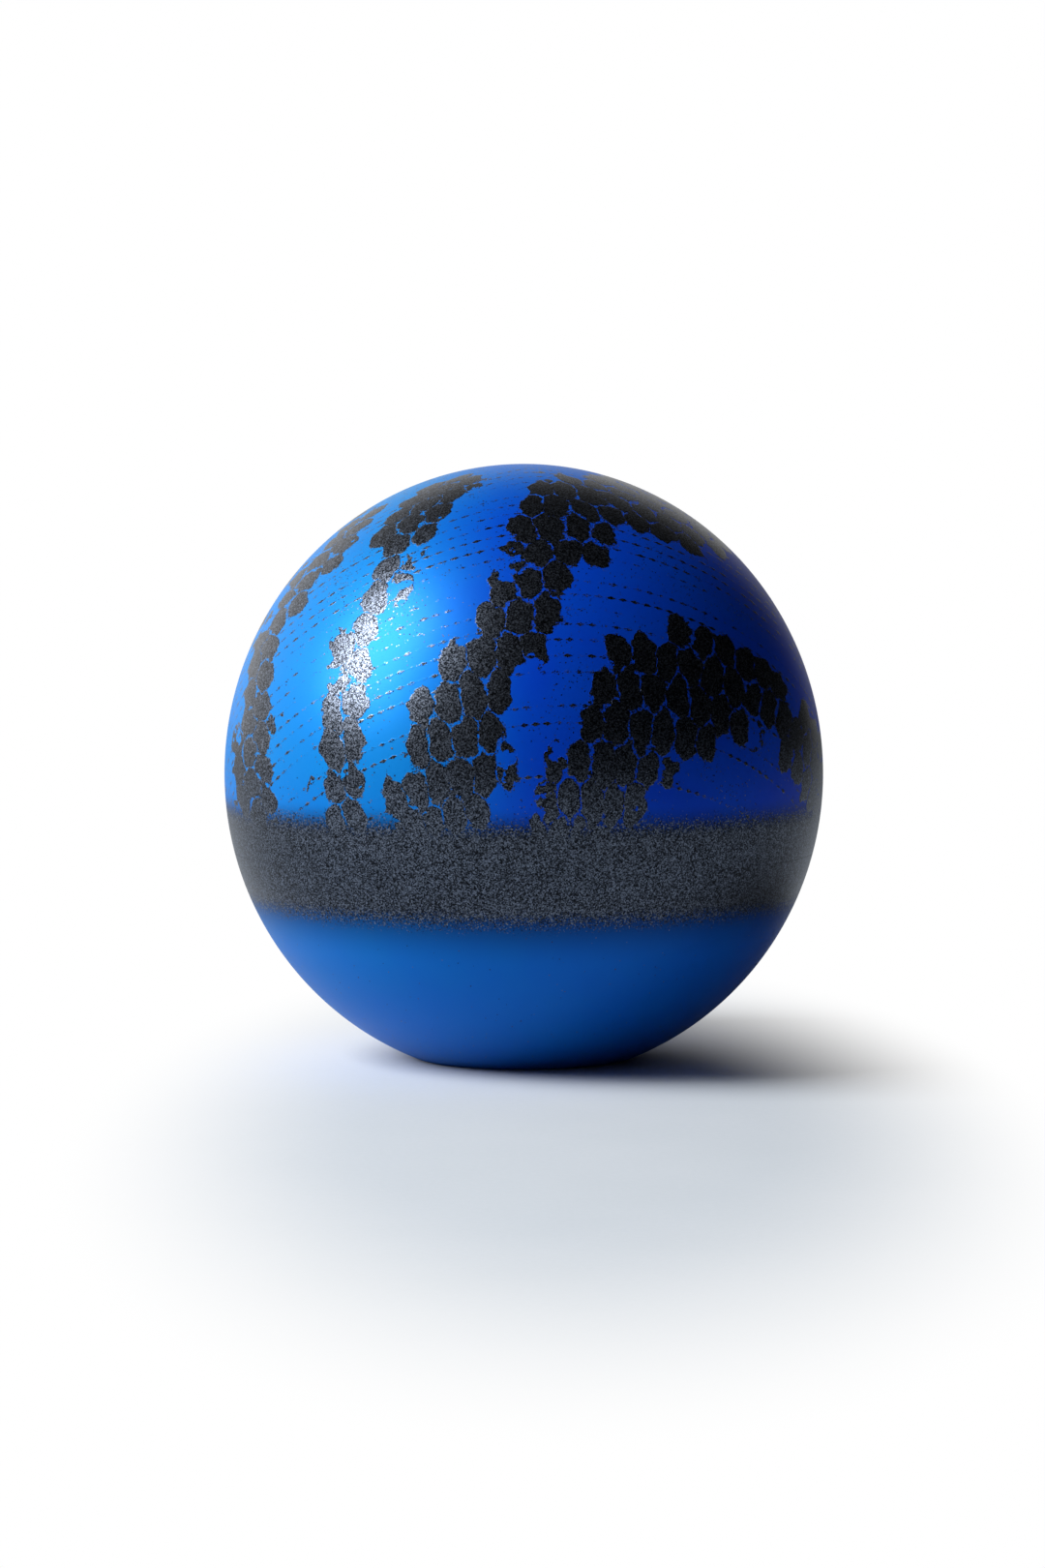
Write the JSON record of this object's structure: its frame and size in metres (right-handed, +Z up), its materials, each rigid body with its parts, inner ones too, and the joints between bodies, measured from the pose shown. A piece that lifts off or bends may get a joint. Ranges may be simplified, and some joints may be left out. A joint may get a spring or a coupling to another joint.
{
  "type": "ball yo-yo with a spring reel",
  "caption": "Painted ball-shaped yo-yo that stands on a small flat foot, with a string eyelet in the foot and a spring-return string reel on a ball bearing inside.",
  "frame": {"origin": "centre of the foot, on the plane that the ball stands on", "axes": "+Z up along the ball's centre line, through the eyelet; +X along the reel's axle, towards the spring cover; +Y from the centre line towards the axle"},
  "size_m": [0.06, 0.06, 0.0595],
  "materials": {
    "shell_paint": "satin candy-blue metallic paint with a dark metal-flake net pattern",
    "black_plastic": "moulded, fine texture",
    "white_plastic": "moulded acetal",
    "brass": "turned and polished",
    "bronze": "sintered, oiled",
    "steel": "turned",
    "spring_steel": "blued strip",
    "bearing_steel": "ground"
  },
  "bodies": {
    "ball": {"upper_shell": "shell_paint", "lower_shell": "shell_paint", "coupling_ring": "black_plastic", "string_eyelet": "brass", "balance_weight": "steel", "weight_screw": "steel", "reel_frame": "black_plastic", "frame_screw_1": "steel", "frame_screw_2": "steel", "frame_screw_3": "steel", "axle": "steel", "axle_clip_left": "spring_steel", "axle_clip_right": "spring_steel", "bearing_spacer": "steel", "spring_arbor": "steel", "bearing_inner_race": "bearing_steel", "return_spring": "spring_steel"},
    "reel": {"spool": "white_plastic", "spring_cover": "white_plastic", "cover_screw_1": "steel", "cover_screw_2": "steel", "cover_screw_3": "steel", "reel_bush": "bronze", "bearing_outer_race": "bearing_steel", "bearing_shield_left": "bearing_steel", "bearing_shield_right": "bearing_steel"},
    "bearing_cage_and_balls": {"bearing_cage": "brass", "bearing_ball_1": "bearing_steel", "bearing_ball_2": "bearing_steel", "bearing_ball_3": "bearing_steel", "bearing_ball_4": "bearing_steel", "bearing_ball_5": "bearing_steel", "bearing_ball_6": "bearing_steel", "bearing_ball_7": "bearing_steel", "bearing_ball_8": "bearing_steel"}
  },
  "joints": [
    {"name": "reel_spin", "type": "hinge", "parent": "ball", "child": "reel", "pos_m": [0, 0.008, 0.0285], "axis": [1, 0, 0], "range_deg": [0, 3960], "stiffness_Nm_per_rad": 0.00015, "springref_deg": -719.98, "deforming": ["return_spring"]},
    {"name": "bearing_cage_spin", "type": "hinge", "parent": "ball", "child": "bearing_cage_and_balls", "pos_m": [0, 0.008, 0.0285], "axis": [1, 0, 0], "range_deg": [0, 2438]}
  ],
  "couplings": [
    {"joint": "bearing_cage_spin", "follows": "reel_spin", "ratio": 0.6155}
  ]
}
